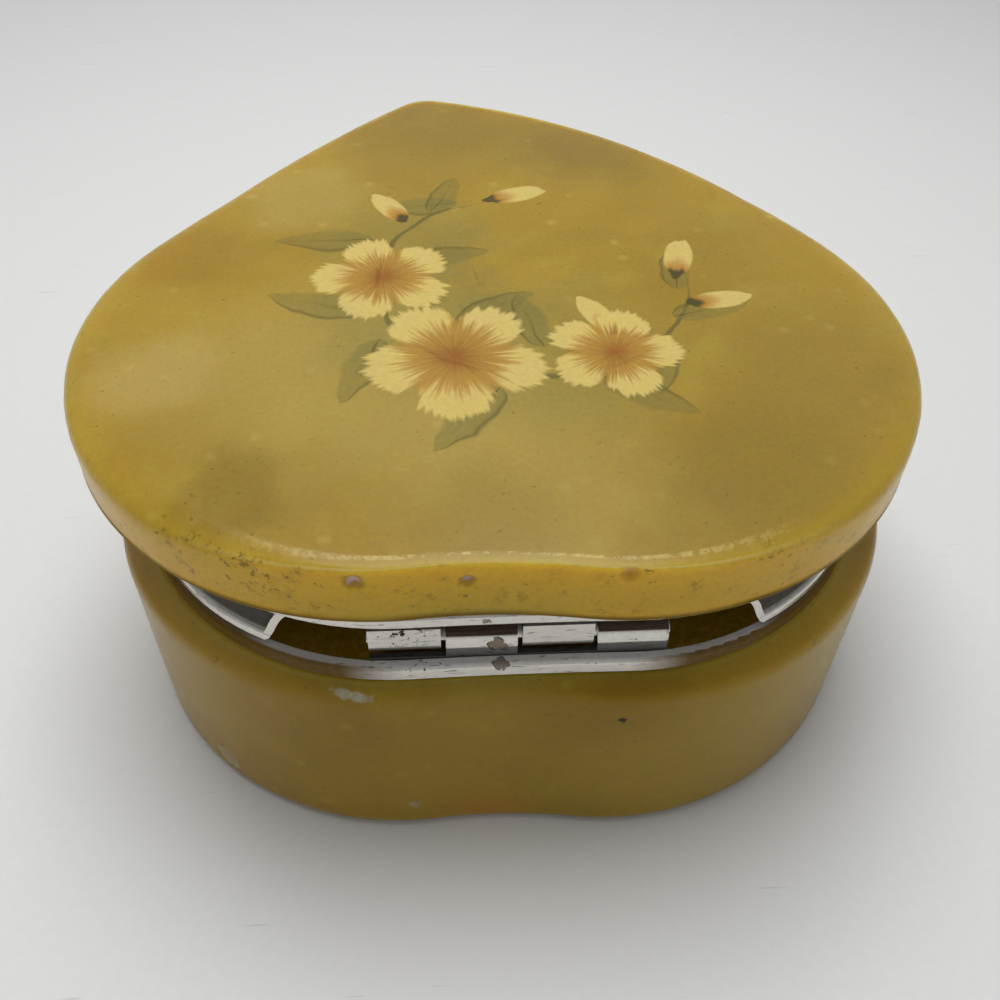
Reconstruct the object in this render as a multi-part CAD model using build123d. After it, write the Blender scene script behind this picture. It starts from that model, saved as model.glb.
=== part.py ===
from build123d import *
from collections import namedtuple
from math import sqrt
import os

os.makedirs("parts", exist_ok=True)

# Sizes, in millimetres. The hinge is at the back, +Y, and the heart's tip at the front, -Y.

# Outline of the stones: two lobes, a tip that leans to one side, two flanks and a shallow notch
left_lobe_x = -14.1
left_lobe_y = 13.2
left_lobe_radius = 45.2
right_lobe_x = 16.0
right_lobe_y = 13.4
right_lobe_radius = 44.0
tip_x = 11.3
tip_y = -52.3
tip_radius = 6.4
left_flank_radius = 105.0
right_flank_radius = 240.0
notch_radius = 80.0

# Outline of the mouth, along the outer edge of the metal rims
mouth_lobe_spread = 15.0
mouth_lobe_radius = 37.3
mouth_notch_shoulder = 1.1
mouth_tip_y = -42.0
mouth_tip_radius = 9.0
mouth_left_flank_radius = 97.0
mouth_right_flank_radius = 232.0
mouth_notch_radius = 600.0

# Lower stone
base_trim = 0.5
ridge_height = 32.4
ridge_rounding = 2.2
shoulder_rise = 3.8
foot_rounding = 2.0
floor_thickness = 8.0
floor_rounding = 5.0
rim_seat_depth = 6.0
cavity_inset = 2.8

# Upper stone
lid_thickness = 10.0
lid_side_shift = 1.2
lid_front_shift = 1.0
lid_top_rounding = 2.0
lid_edge_rounding = 0.6
lid_hollow_inset = 4.0
lid_hollow_depth = 3.0
lid_hollow_rounding = 2.0

# Metal rims and the plaster that beds them
bed_thickness = 0.3
bed_setback = 0.2
rim_width = 1.5
rim_height = 2.2
rim_outer_rounding = 0.7
rim_inner_rounding = 0.25
liner_thickness = 0.6
liner_depth = 5.5
flange_overhang = 0.4
flange_height = 1.9
flange_rounding = 0.4
skirt_thickness = 0.6
skirt_height = 8.4
bead_height = 2.0
bead_proud = 0.45
bead_rounding = 0.5
lip_proud = 0.3

# Opening in the lid's skirt, where the hinge works
hinge_gap_top = 52.6
hinge_gap_foot = 66.8
hinge_gap_lip = 1.0

# Hinge
hinge_length = 37.4
knuckle_count = 4
knuckle_gap = 0.6
pin_radius = 0.9
pin_end = 0.3
leaf_thickness = 0.8
leaf_reach = 6.0
leaf_edge_gap = 0.5
axis_above_rim = 2.3
seam_width = 0.3

# Clearances
running_clearance = 0.05
solder_clearance = 0.05
closing_clearance = 0.3
seat_clearance = 0.1

# Values that follow
base_height = ridge_height + shoulder_rise
rim_foot = base_height + bed_thickness
rim_top = rim_foot + rim_height
skirt_foot = rim_top + closing_clearance
flange_foot = skirt_foot + skirt_height
flange_top = flange_foot + flange_height
lid_foot = flange_top + bed_thickness
lid_top = lid_foot + lid_thickness
barrel_radius = pin_radius + running_clearance + leaf_thickness
notch_centre_x = (left_lobe_x + right_lobe_x) / 2
axis_z = rim_top + axis_above_rim

Heart = namedtuple("Heart", "left right tip left_flank right_flank notch")
Lobe = namedtuple("Lobe", "centre radius")


def crossing(first, first_reach, second, second_reach, turn):
    """The point at the two reaches from two centres, on the side that turn picks."""
    span = second - first
    along = (span.length**2 + first_reach**2 - second_reach**2) / (2 * span.length)
    across = sqrt(first_reach**2 - along**2)
    normal = Vector(-span.Y, span.X) / span.length
    return first + span * (along / span.length) + normal * (turn * across)


def on_circle(lobe, radius, away_from):
    return lobe + (lobe - away_from).normalized() * radius


def arc(centre, start, end):
    """The short arc about centre from start to end."""
    middle = (start + end) / 2 - centre
    return ThreePointArc(start, centre + middle.normalized() * (start - centre).length, end)


def notch_centre(shape):
    """The point that the notch's arc turns about, behind the heart."""
    left, right = shape.left, shape.right
    return crossing(left.centre, left.radius + shape.notch, right.centre, right.radius + shape.notch, 1)


def heart_face(shape, inset=0.0):
    """The heart as six tangent arcs, drawn in by inset."""
    left, right, tip = shape.left, shape.right, shape.tip
    left_flank = crossing(
        tip.centre, shape.left_flank - tip.radius, left.centre, shape.left_flank - left.radius, -1
    )
    right_flank = crossing(
        tip.centre, shape.right_flank - tip.radius, right.centre, shape.right_flank - right.radius, 1
    )
    notch = notch_centre(shape)

    tip_left = on_circle(tip.centre, tip.radius - inset, left_flank)
    tip_right = on_circle(tip.centre, tip.radius - inset, right_flank)
    side_right = on_circle(right.centre, right.radius - inset, right_flank)
    back_right = right.centre + (notch - right.centre).normalized() * (right.radius - inset)
    back_left = left.centre + (notch - left.centre).normalized() * (left.radius - inset)
    side_left = on_circle(left.centre, left.radius - inset, left_flank)
    edges = [
        arc(tip.centre, tip_left, tip_right),
        arc(right_flank, tip_right, side_right),
        arc(right.centre, side_right, back_right),
        arc(notch, back_right, back_left),
        arc(left.centre, back_left, side_left),
        arc(left_flank, side_left, tip_left),
    ]
    return make_face(edges)


def slab(shape, inset, low, high):
    return Pos(0, 0, low) * extrude(heart_face(shape, inset), high - low)


def ring(shape, outer_inset, inner_inset, low, high):
    return slab(shape, outer_inset, low, high) - slab(shape, inner_inset, low, high)


def edges_at(solid, height):
    return solid.edges().filter_by(lambda edge: abs(edge.bounding_box().min.Z - height) < 1e-3
                                   and abs(edge.bounding_box().max.Z - height) < 1e-3)


stone_outline = Heart(
    Lobe(Vector(left_lobe_x, left_lobe_y), left_lobe_radius),
    Lobe(Vector(right_lobe_x, right_lobe_y), right_lobe_radius),
    Lobe(Vector(tip_x, tip_y), tip_radius),
    left_flank_radius,
    right_flank_radius,
    notch_radius,
)

# The mouth's notch lies a narrow shoulder inside the wall's
mouth_back_y = notch_centre(stone_outline).Y - notch_radius - base_trim - mouth_notch_shoulder
mouth_notch_reach = mouth_lobe_radius + mouth_notch_radius
mouth_lobe_y = mouth_back_y + mouth_notch_radius - sqrt(mouth_notch_reach**2 - mouth_lobe_spread**2)
mouth_outline = Heart(
    Lobe(Vector(notch_centre_x - mouth_lobe_spread, mouth_lobe_y), mouth_lobe_radius),
    Lobe(Vector(notch_centre_x + mouth_lobe_spread, mouth_lobe_y), mouth_lobe_radius),
    Lobe(Vector(tip_x, mouth_tip_y), mouth_tip_radius),
    mouth_left_flank_radius,
    mouth_right_flank_radius,
    mouth_notch_radius,
)

# Hinge axis: the leaves lie against the inner face of the rims at the notch
leaf_face_y = mouth_back_y - rim_width - solder_clearance
axis_y = leaf_face_y - barrel_radius


# Lower stone: a straight wall, a sloping shoulder up to the mouth, and the hollow
def make_base():
    wall = slab(stone_outline, base_trim, 0, ridge_height)
    ridge = Pos(0, 0, ridge_height) * heart_face(stone_outline, base_trim)
    mouth = Pos(0, 0, base_height) * heart_face(mouth_outline)
    stone = wall + loft([ridge, mouth], ruled=True)
    stone = fillet(edges_at(stone, ridge_height), ridge_rounding)
    stone = fillet(edges_at(stone, 0), foot_rounding)

    hollow = slab(mouth_outline, cavity_inset, floor_thickness, base_height + 1)
    hollow = fillet(edges_at(hollow, floor_thickness), floor_rounding)
    seat_inset = rim_width - liner_thickness - seat_clearance
    seat = slab(mouth_outline, seat_inset, base_height - rim_seat_depth, base_height + 1)
    return stone - hollow - seat


# Upper stone: a slab with a softly rounded top edge, hollowed a little underneath
def make_lid():
    stone = slab(stone_outline, 0, lid_foot, lid_top)
    stone = fillet(edges_at(stone, lid_top), lid_top_rounding)
    stone = fillet(edges_at(stone, lid_foot), lid_edge_rounding)
    stone = Pos(lid_side_shift, -lid_front_shift, 0) * stone

    hollow = slab(mouth_outline, lid_hollow_inset, lid_foot - 1, lid_foot + lid_hollow_depth)
    hollow = fillet(edges_at(hollow, lid_foot + lid_hollow_depth), lid_hollow_rounding)
    return stone - hollow


# Plaster beds: flat rings between each stone and its rim
def make_bed(outer_inset, inner_inset, low):
    return ring(mouth_outline, outer_inset + bed_setback, inner_inset - bed_setback, low, low + bed_thickness)


# Rim of the bowl: a rounded ledge on the mouth, with a liner that drops inside
def make_base_band():
    ledge = slab(mouth_outline, 0, rim_foot, rim_top)
    ledge = fillet(edges_at(ledge, rim_top), rim_outer_rounding)
    bore = slab(mouth_outline, rim_width, rim_foot - 1, rim_top + 1)
    ledge = ledge - bore
    ledge = fillet(inner_top_edges(ledge), rim_inner_rounding)
    liner = ring(mouth_outline, rim_width - liner_thickness, rim_width, rim_foot - liner_depth, rim_foot)
    return ledge + liner


def inner_top_edges(ledge):
    """The top edges on the bore, which lie within the outline drawn in by the rim's width."""
    reach = slab(mouth_outline, rim_width - rim_inner_rounding / 2, rim_top - 1, rim_top + 1)
    return [edge for edge in edges_at(ledge, rim_top) if reach.is_inside(edge @ 0.5)]


# Prism across the back of the box, for the opening in the skirt: an ogee at each end
def hinge_opening(grow=0.0):
    top = hinge_gap_top / 2 + grow
    foot = hinge_gap_foot / 2 + grow
    middle = (top + foot) / 2
    waist = (skirt_foot + flange_foot) / 2
    low = skirt_foot - 1
    outline = [
        Line((-foot, low), (foot, low)),
        Line((foot, low), (foot, skirt_foot)),
        Spline((foot, skirt_foot), (middle, waist), (top, flange_foot), tangents=[(-1, 0.15), (-1, 0.3)]),
        Line((top, flange_foot), (-top, flange_foot)),
        Spline((-top, flange_foot), (-middle, waist), (-foot, skirt_foot), tangents=[(-1, -0.3), (-1, -0.15)]),
        Line((-foot, skirt_foot), (-foot, low)),
    ]
    face = Plane.XZ * make_face(outline)
    prism = extrude(face, mouth_lobe_radius, dir=(0, -1, 0))
    return Pos(notch_centre_x, mouth_back_y + 5, 0) * prism


# Rim of the lid: a flange against the stone and a beaded skirt that closes on the lower rim
def make_lid_band():
    flange = slab(mouth_outline, -flange_overhang, flange_foot, flange_top)
    flange = fillet(edges_at(flange, flange_foot) + edges_at(flange, flange_top), flange_rounding)
    flange = flange - slab(mouth_outline, rim_width, flange_foot - 1, flange_top + 1)
    skirt = ring(mouth_outline, rim_width - skirt_thickness, rim_width, skirt_foot, flange_foot)
    bead_inset = rim_width - skirt_thickness - bead_proud
    bead = slab(mouth_outline, bead_inset, skirt_foot, skirt_foot + bead_height)
    bead = fillet(edges_at(bead, skirt_foot) + edges_at(bead, skirt_foot + bead_height), bead_rounding)
    bead = bead - slab(mouth_outline, rim_width, skirt_foot - 1, flange_foot)
    lip = ring(mouth_outline, rim_width - skirt_thickness - lip_proud, rim_width, skirt_foot, flange_foot)
    lip = lip & (hinge_opening(hinge_gap_lip) - hinge_opening())
    return flange + (skirt + bead - hinge_opening()) + lip


# Hinge: rolled knuckles that take turns along the axis, each with the leaf it is rolled from
knuckle_length = (hinge_length - (knuckle_count - 1) * knuckle_gap) / knuckle_count
knuckle_pitch = knuckle_length + knuckle_gap


def knuckle_x(index):
    return notch_centre_x + (index - (knuckle_count - 1) / 2) * knuckle_pitch


def plate(x, length, low, high):
    y = leaf_face_y - leaf_thickness / 2
    return Pos(x, y, (low + high) / 2) * Box(length, leaf_thickness, high - low)


def knuckle(x, side):
    """One rolled knuckle; side is -1 where its leaf hangs down and 1 where it stands up."""
    along_axis = Pos(x, axis_y, axis_z) * Rot(0, 90, 0)
    barrel = along_axis * Cylinder(barrel_radius, knuckle_length)
    tangent = plate(x, knuckle_length, *sorted((axis_z, axis_z + side * (barrel_radius + leaf_edge_gap))))
    seam_z = axis_z + side * barrel_radius / 2
    seam = Pos(x, leaf_face_y - leaf_thickness - seam_width / 2, seam_z)
    seam = seam * Box(knuckle_length, seam_width, barrel_radius)
    bore = along_axis * Cylinder(pin_radius + running_clearance, knuckle_length)
    return barrel + tangent - seam - bore


def make_base_leaf():
    foot = rim_foot - leaf_reach
    head = axis_z - barrel_radius - leaf_edge_gap
    leaf = plate(notch_centre_x, hinge_length, foot, head)
    for index in range(0, knuckle_count, 2):
        leaf = leaf + knuckle(knuckle_x(index), -1)
    return leaf


def make_lid_leaf():
    foot = flange_foot - leaf_edge_gap
    leaf = plate(notch_centre_x, hinge_length, foot, flange_top)
    for index in range(1, knuckle_count, 2):
        x = knuckle_x(index)
        leaf = leaf + knuckle(x, 1) + plate(x, knuckle_length, axis_z, foot)
    return leaf


def make_pin():
    return Pos(notch_centre_x, axis_y, axis_z) * Rot(0, 90, 0) * Cylinder(pin_radius, hinge_length + 2 * pin_end)


pieces = {
    "alabaster_base": make_base(),
    "base_bedding": make_bed(0, rim_width - liner_thickness, base_height),
    "base_band": make_base_band(),
    "base_hinge_leaf": make_base_leaf(),
    "hinge_pin": make_pin(),
    "alabaster_lid": make_lid(),
    "lid_bedding": make_bed(-flange_overhang, rim_width, flange_top),
    "lid_band": make_lid_band(),
    "lid_hinge_leaf": make_lid_leaf(),
}

# The origin is on the table, under the middle of the whole box
outer = pieces["alabaster_base"].bounding_box().add(pieces["alabaster_lid"].bounding_box())
middle = (outer.min + outer.max) / 2
placing = Pos(-middle.X, -middle.Y, 0)
for name, solid in pieces.items():
    export_step(placing * solid, f"parts/{name}.step")

print("size", outer.size)
print("hinge axis y, z:", axis_y - middle.Y, axis_z, "centre x:", notch_centre_x - middle.X)
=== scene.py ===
"""A heart-shaped alabaster trinket box: two carved stones, plated rims, a rolled hinge and a painted lid."""

import math
from collections import namedtuple

import bmesh
import bpy
import numpy as np
from bpy.props import FloatProperty, FloatVectorProperty, IntProperty, PointerProperty
from mathutils import Matrix, Vector, noise


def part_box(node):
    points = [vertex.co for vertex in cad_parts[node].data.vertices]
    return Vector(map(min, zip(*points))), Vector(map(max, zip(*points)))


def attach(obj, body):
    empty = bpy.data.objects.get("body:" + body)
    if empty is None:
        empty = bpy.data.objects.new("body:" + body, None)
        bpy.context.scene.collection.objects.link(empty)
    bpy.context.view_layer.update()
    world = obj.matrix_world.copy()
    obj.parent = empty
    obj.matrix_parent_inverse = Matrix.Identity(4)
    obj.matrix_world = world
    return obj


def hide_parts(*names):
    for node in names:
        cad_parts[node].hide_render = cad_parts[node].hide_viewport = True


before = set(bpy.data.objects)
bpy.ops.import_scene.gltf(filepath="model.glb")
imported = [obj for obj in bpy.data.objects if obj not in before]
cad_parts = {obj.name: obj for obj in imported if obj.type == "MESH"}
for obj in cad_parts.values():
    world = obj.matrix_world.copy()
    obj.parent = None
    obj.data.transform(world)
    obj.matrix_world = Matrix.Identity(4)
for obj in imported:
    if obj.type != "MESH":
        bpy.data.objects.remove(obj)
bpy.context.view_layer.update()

bl_info = {
    "name": "Alabaster Trinket Box",
    "version": (1, 0, 0),
    "blender": (4, 5, 0),
    "location": "View3D > Sidebar > Trinket Box",
    "description": "Carved stones, plated rims and a stage for a heart-shaped trinket box",
    "category": "Object",
}

MM = 0.001
COLOUR = {"size": 3, "subtype": "COLOR", "min": 0, "max": 1}
ANGLE = {"subtype": "ANGLE", "unit": "ROTATION"}


def srgb(code):
    """A colour written as sRGB hex, turned to linear."""
    parts = [int(code[i:i + 2], 16) / 255 for i in (1, 3, 5)]
    return tuple(p / 12.92 if p <= 0.04045 else ((p + 0.055) / 1.055) ** 2.4 for p in parts)


def opaque(colour):
    return (*colour, 1.0)


# Sizes and colours that a user would change

class StoneSettings(bpy.types.PropertyGroup):
    """The carved stones"""

    crown: FloatProperty(
        name="Crown", description="How much lower the lid's rim is than its middle",
        default=0.25 * MM, unit="LENGTH")
    bevel_width: FloatProperty(
        name="Bevel at the notch", description="Width of the lid's bevel at the hinge",
        default=1.35 * MM, unit="LENGTH")
    bevel_drop: FloatProperty(
        name="Bevel drop at the notch", description="Height of the lid's bevel at the hinge",
        default=0.4 * MM, unit="LENGTH")
    side_width: FloatProperty(
        name="Bevel at the lobes", description="Width of the lid's bevel at the lobes",
        default=3.2 * MM, unit="LENGTH")
    side_drop: FloatProperty(
        name="Bevel drop at the lobes", description="Height of the lid's bevel at the lobes",
        default=1.9 * MM, unit="LENGTH")
    ridge_height: FloatProperty(
        name="Ridge at the notch", description="Height of the base's shoulder line at the hinge",
        default=33.0 * MM, unit="LENGTH")
    ridge_dip: FloatProperty(
        name="Ridge dip", description="How much lower the shoulder line is at the sides",
        default=1.6 * MM, unit="LENGTH")
    waviness: FloatProperty(
        name="Waviness", description="Depth of the hand-carved unevenness of the walls",
        default=0.16 * MM, unit="LENGTH")
    honey: FloatVectorProperty(
        name="Honey", description="Main colour of the alabaster",
        default=srgb("#a08432"), **COLOUR)
    amber: FloatVectorProperty(
        name="Amber", description="Browner clouds in the alabaster",
        default=srgb("#957b2d"), **COLOUR)
    pale: FloatVectorProperty(
        name="Pale", description="Milky patches in the alabaster",
        default=srgb("#a48e3a"), **COLOUR)
    # Glow and brow are painted light: colours laid over the lid's side for light that comes through the
    # stone
    glow: FloatVectorProperty(
        name="Glow", description="Light that comes through the lid's side",
        default=srgb("#e3b038"), **COLOUR)
    brow: FloatVectorProperty(
        name="Brow", description="Light that comes through under the lid's edge",
        default=srgb("#dfc038"), **COLOUR)
    # Crust also colours the painted highlight line under the lid's bevel
    crust_and_highlight: FloatVectorProperty(
        name="Crust", description="Bruised pale line on the lid's edge",
        default=srgb("#c2b06e"), **COLOUR)
    # Seep is painted light: the inside of the box emits a faint glow in the stone's own colour
    seep: FloatProperty(
        name="Seep", description="Light that seeps through the stone to the inside of the box",
        default=0.09, min=0)
    bowl_tint: FloatVectorProperty(
        name="Bowl tint", description="How much darker and browner the base stone is",
        default=(1.0, 0.9, 0.36), **COLOUR)


class RimSettings(bpy.types.PropertyGroup):
    """The plated rims and the hinge"""

    plating: FloatVectorProperty(
        name="Plating", description="Colour of the nickel plating",
        default=srgb("#dedad2"), **COLOUR)
    tarnish: FloatVectorProperty(
        name="Tarnish", description="Colour of the black tarnish in the scratches",
        default=srgb("#2b241c"), **COLOUR)


class SpraySettings(bpy.types.PropertyGroup):
    """The painted spray on the lid"""

    petal: FloatVectorProperty(
        name="Petal", description="Cream of the petals",
        default=srgb("#c6b068"), **COLOUR)
    petal_base: FloatVectorProperty(
        name="Petal base", description="Gold at the foot of the petals",
        default=srgb("#ac8036"), **COLOUR)
    throat: FloatVectorProperty(
        name="Throat", description="Amber-brown of the blossoms' middles",
        default=srgb("#8c4519"), **COLOUR)
    leaf: FloatVectorProperty(
        name="Leaf", description="Grey-green of the leaves",
        default=srgb("#6f6a3a"), **COLOUR)
    ink: FloatVectorProperty(
        name="Leaf edge", description="Dark olive of the leaf edges and stems",
        default=srgb("#4a4526"), **COLOUR)
    wash: FloatVectorProperty(
        name="Wash", description="Soft olive wash behind the spray",
        default=srgb("#97894a"), **COLOUR)


class StageSettings(bpy.types.PropertyGroup):
    """The floor, the lamps and the camera"""

    floor_colour: FloatVectorProperty(
        name="Floor", description="Colour of the pale table",
        default=srgb("#dcdcda"), **COLOUR)
    lamp_power: FloatProperty(
        name="Lamp", description="Power of the soft lamp overhead", default=2.0, unit="POWER")
    lamp_place: FloatVectorProperty(
        name="Lamp place", description="Middle of the soft lamp",
        default=(0.02, -0.08, 0.5), size=3, subtype="TRANSLATION", unit="LENGTH")
    sky: FloatProperty(
        name="Sky", description="Strength of the light from behind the box", default=0.43, min=0)
    sky_front: FloatProperty(
        name="Sky in front", description="Strength of the light from the camera's side",
        default=0.28, min=0)
    target: FloatVectorProperty(
        name="Target", description="Point that the camera turns about",
        default=(-5.6 * MM, 1.83 * MM, 25 * MM), size=3, subtype="TRANSLATION", unit="LENGTH")
    azimuth: FloatProperty(
        name="Azimuth", description="Turn of the camera from the hinge side towards +X",
        default=math.radians(5.83), **ANGLE)
    elevation: FloatProperty(
        name="Elevation", description="Height of the camera above the horizon",
        default=math.radians(43.42), **ANGLE)
    roll: FloatProperty(
        name="Roll", description="Turn of the camera about its own line of sight",
        default=math.radians(2.81), **ANGLE)
    distance: FloatProperty(
        name="Distance", description="From the target to the camera",
        default=174.09 * MM, unit="LENGTH")
    lens: FloatProperty(
        name="Lens", description="Focal length on a 36 mm sensor, in millimetres", default=36.05)
    shift: FloatVectorProperty(
        name="Shift", description="Camera shift, as a share of the picture",
        default=(-0.0296, -0.0571), size=2)


class TrinketBoxSettings(bpy.types.PropertyGroup):
    """All the settings of the trinket box"""

    stone: PointerProperty(name="Stone", description="The carved stones", type=StoneSettings)
    rim: PointerProperty(name="Rims", description="The plated rims and the hinge", type=RimSettings)
    spray: PointerProperty(name="Spray", description="The painted spray", type=SpraySettings)
    stage: PointerProperty(name="Stage", description="Floor, lamps and camera", type=StageSettings)
    columns: IntProperty(
        name="Columns", description="Vertices round each stone, in hundreds", default=9, min=3)


# Outlines: each heart is six tangent arcs, as in the CAD source, in millimetres

Lobe = namedtuple("Lobe", "centre radius")
Heart = namedtuple("Heart", "left right tip left_flank right_flank notch")

STONE_OUTLINE = Heart(
    Lobe((-14.1, 13.2), 45.2), Lobe((16.0, 13.4), 44.0), Lobe((11.3, -52.3), 6.4), 105.0, 240.0, 80.0)
MOUTH_OUTLINE = Heart(
    Lobe((-14.05, 18.196), 37.3), Lobe((15.95, 18.196), 37.3), Lobe((11.3, -42.0), 9.0), 97.0, 232.0, 600.0)
STONE_TRIM = 0.5


def crossing(first, first_reach, second, second_reach, turn):
    """The point at the two reaches from two centres, on the side that turn picks."""
    span = second - first
    along = (span.length_squared + first_reach**2 - second_reach**2) / (2 * span.length)
    across = math.sqrt(first_reach**2 - along**2)
    normal = Vector((-span.y, span.x)) / span.length
    return first + span * (along / span.length) + normal * (turn * across)


def heart_arcs(heart):
    """The six arcs in order from the tip: centre, radius, first and last angle, and share of the points."""
    left, right, tip = (Vector(lobe.centre) for lobe in (heart.left, heart.right, heart.tip))
    left_flank = crossing(
        tip, heart.left_flank - heart.tip.radius, left, heart.left_flank - heart.left.radius, -1)
    right_flank = crossing(
        tip, heart.right_flank - heart.tip.radius, right, heart.right_flank - heart.right.radius, 1)
    notch = crossing(left, heart.left.radius + heart.notch, right, heart.right.radius + heart.notch, 1)

    def heading(vector):
        return math.atan2(vector.y, vector.x)

    return (
        (tip, heart.tip.radius, heading(tip - left_flank), heading(tip - right_flank), 0.05),
        (right_flank, heart.right_flank, heading(tip - right_flank), heading(right - right_flank), 0.19),
        (right, heart.right.radius, heading(right - right_flank), heading(notch - right), 0.25),
        (notch, -heart.notch, heading(right - notch), heading(left - notch), 0.07),
        (left, heart.left.radius, heading(notch - left), heading(left - left_flank), 0.25),
        (left_flank, heart.left_flank, heading(left - left_flank), heading(tip - left_flank), 0.19),
    )


def heart_loop(heart, count):
    """Points round the heart and the directions that lead inwards from them, in millimetres."""
    points, inwards = [], []
    for centre, radius, first, last, share in heart_arcs(heart):
        turn = (last - first + math.pi) % (2 * math.pi) - math.pi
        steps = round(share * count)
        for step in range(steps):
            angle = first + turn * step / steps
            out = np.array((math.cos(angle), math.sin(angle)))
            points.append(np.array(centre) + out * abs(radius))
            inwards.append(-out * math.copysign(1, radius))
    return np.array(points), np.array(inwards)


def placed_loop(heart, count, node, inset=0.0):
    """The loop in the row frame, moved so that its box, drawn in by inset, is centred on the node's."""
    points, inwards = heart_loop(heart, count)
    drawn = points + inwards * inset
    low, high = (np.array(corner[:2]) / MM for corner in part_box(node))
    shift = (low + high) / 2 - (drawn.min(0) + drawn.max(0)) / 2
    return points + shift, inwards


# Meshes: rows of points round the box, in millimetres, each with marks that the materials read

# The marks: a bruised crest, a painted highlight line under the bevel, painted glow on the lid's side, and
# the inside
MARKS = ("crest", "brink_highlight", "glow", "inside")
CREST, BRINK_HIGHLIGHT = 3, 4


def level(points, height, glow=0.0, inside=0.0):
    """The flat points at one height, or at a height for each, with their marks."""
    columns = [np.broadcast_to(value, len(points)) for value in (height, 0.0, 0.0, glow, inside)]
    return np.column_stack((points, *columns))


def towards(centre, points, share):
    return centre + (points - centre) * share


def bent(start, corner, end, steps):
    """Rows that round a corner, without the first."""
    shares = [step / steps for step in range(1, steps + 1)]
    return [start * (1 - t) ** 2 + corner * 2 * t * (1 - t) + end * t**2 for t in shares]


def straight(start, end, steps):
    """Rows from one to the other, without the first."""
    return [start + (end - start) * (step / steps) for step in range(1, steps + 1)]


def step_along(start, end, length):
    """Rows a given length on the way from start to end, one length for each point."""
    way = end[:, :3] - start[:, :3]
    share = np.reshape(length, (-1, 1)) / np.linalg.norm(way, axis=1, keepdims=True)
    return start + (end - start) * np.minimum(share, 0.5)


def uneven(rows, inwards, depth, size, seed):
    """The rows are drawn in by soft bumps about size across and up to depth deep."""
    for row in rows:
        bumps = [noise.noise(Vector((*point[:3],)) / size + Vector((seed, 0, 0))) for point in row]
        row[:, :2] += inwards * (depth * (np.clip(bumps, -1, 1) + 1) / 2)[:, None]


def dent(rows, inwards, place, radius, depth):
    """A round hollow pressed into the rows' side."""
    for row in rows:
        share = np.clip(1 - (np.linalg.norm(row[:, :3] - place, axis=1) / radius) ** 2, 0, 1)
        row[:, :2] += inwards * (depth * share**2)[:, None]


def rows_mesh(name, rows):
    """A closed mesh over the rows, whose first and last close to poles."""
    rows = np.array(rows)
    row_count, column_count = rows.shape[:2]
    bm = bmesh.new()
    layers = [bm.verts.layers.float.new(mark) for mark in MARKS]
    bmesh.ops.create_grid(bm, x_segments=column_count, y_segments=row_count - 1, size=0.5)
    for vertex in bm.verts:
        column = round((vertex.co.x + 0.5) * column_count) % column_count
        x, y, z, *marks = rows[round((vertex.co.y + 0.5) * (row_count - 1)), column]
        vertex.co = Vector((x, y, z)) * MM
        for layer, mark in zip(layers, marks):
            vertex[layer] = mark
    bmesh.ops.remove_doubles(bm, verts=bm.verts, dist=0.002 * MM)
    bmesh.ops.recalc_face_normals(bm, faces=bm.faces)
    mesh = bpy.data.meshes.new(name)
    bm.to_mesh(mesh)
    bm.free()
    mesh.shade_smooth()
    return mesh


def piece(name, mesh, body, *materials):
    """A finished object at the origin that rides on a body."""
    made = bpy.data.objects.new(name, mesh)
    bpy.context.scene.collection.objects.link(made)
    for material in materials:
        mesh.materials.append(material)
    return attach(made, body)


def dress(node, material):
    """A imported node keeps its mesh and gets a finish."""
    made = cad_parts[node]
    made.data.materials.clear()
    made.data.materials.append(material)


def sideways(points, reach):
    """0 at the notch and 1 at the lobes, by the distance from the middle."""
    return np.clip(np.abs(points[:, 0]) / reach, 0, 1)


Chip = namedtuple("Chip", "place radius depth")
LID_CHIPS = (
    Chip((18.7, 57.2, 56.9), 1.5, 0.5), Chip((6.2, 56.8, 56.0), 1.3, 0.45),
    Chip((-11.9, 58.2, 58.2), 1.9, 0.4), Chip((32.0, 54.2, 57.0), 0.8, 0.3),
    Chip((29.8, 55.0, 56.4), 0.6, 0.3), Chip((27.6, 55.7, 56.0), 0.7, 0.25))
BASE_CHIPS = (Chip((42.6, 47.8, 4.4), 2.4, 0.9), Chip((-13.7, 58.6, 28.6), 0.5, 0.3))


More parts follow.
